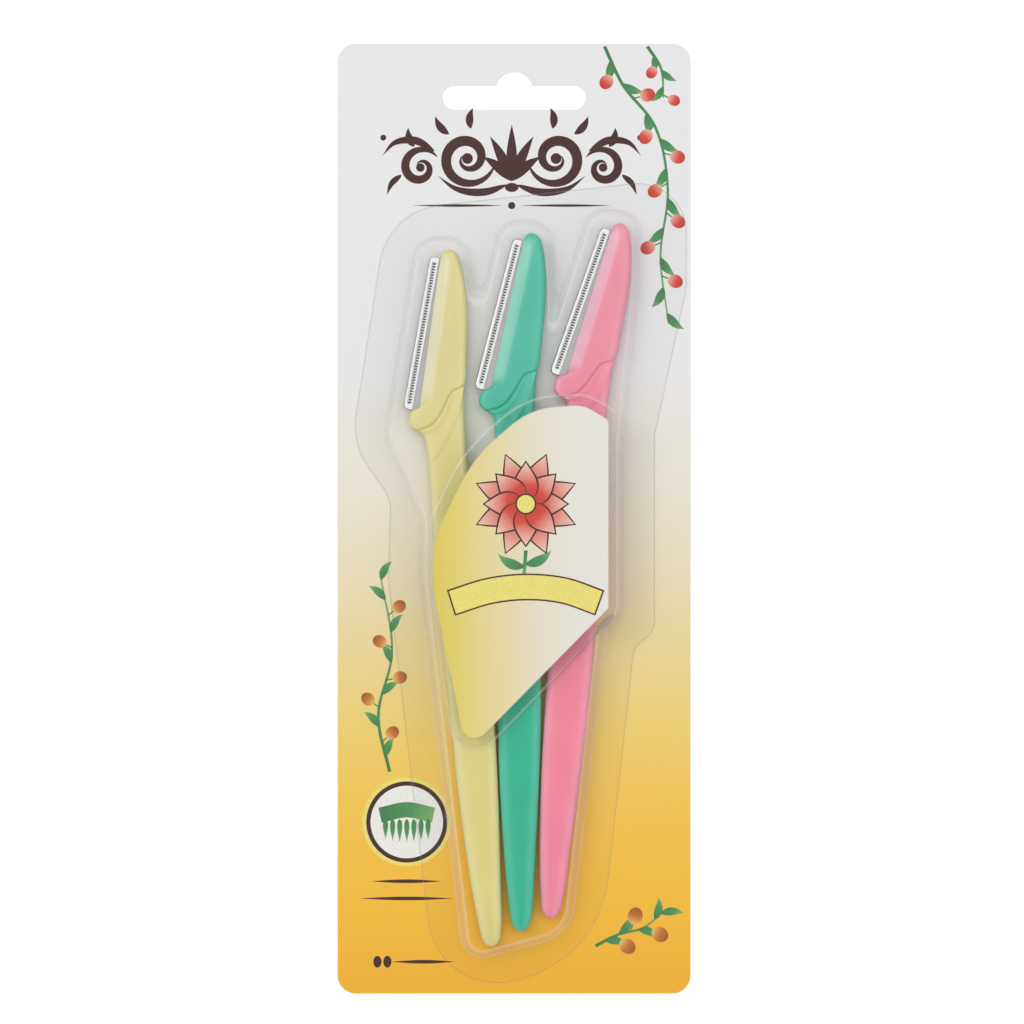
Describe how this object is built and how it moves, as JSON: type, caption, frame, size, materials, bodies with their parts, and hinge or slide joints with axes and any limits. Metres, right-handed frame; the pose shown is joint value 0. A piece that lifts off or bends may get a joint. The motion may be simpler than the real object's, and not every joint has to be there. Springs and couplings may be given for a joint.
{
  "type": "carded eyebrow razor set",
  "caption": "Hang card with a clear blister holding slim eyebrow razors, each with a moulded handle, a straight blade and a slotted safety cover; the blister peels open.",
  "frame": {"origin": "middle of the card's back face, which lies on the ground", "axes": "+X to the right across the card, +Y up the card towards the hang slot, +Z out of its front"},
  "size_m": [0.078, 0.21, 0.0102],
  "materials": {
    "card_board": "coated paperboard",
    "clear_film": "clear thermoformed film",
    "label_paper": "printed paper",
    "yellow_plastic": "satin moulded",
    "green_plastic": "satin moulded",
    "pink_plastic": "satin moulded",
    "blade_steel": "ground",
    "cover_steel": "bright foil"
  },
  "bodies": {
    "card": {"backing_card": "card_board"},
    "blister": {"blister": "clear_film", "front_label": "label_paper"},
    "yellow_razor": {"yellow_handle": "yellow_plastic", "yellow_blade": "blade_steel", "yellow_safety_cover": "cover_steel"},
    "green_razor": {"green_handle": "green_plastic", "green_blade": "blade_steel", "green_safety_cover": "cover_steel"},
    "pink_razor": {"pink_handle": "pink_plastic", "pink_blade": "blade_steel", "pink_safety_cover": "cover_steel"}
  },
  "joints": [
    {"name": "blister_peel", "type": "hinge", "parent": "card", "child": "blister", "pos_m": [0, -0.1028, 0.00085], "axis": [1, 0, 0], "range_deg": [0, 110]},
    {"name": "yellow_razor_play", "type": "slide", "parent": "card", "child": "yellow_razor", "axis": [-0.0637, 0.998, 0], "range_m": [-0.0008, 0.0012]},
    {"name": "green_razor_play", "type": "slide", "parent": "card", "child": "green_razor", "axis": [0.0141, 0.9999, 0], "range_m": [-0.0008, 0.0012]},
    {"name": "pink_razor_play", "type": "slide", "parent": "card", "child": "pink_razor", "axis": [0.0993, 0.9951, 0], "range_m": [-0.0008, 0.0012]}
  ]
}
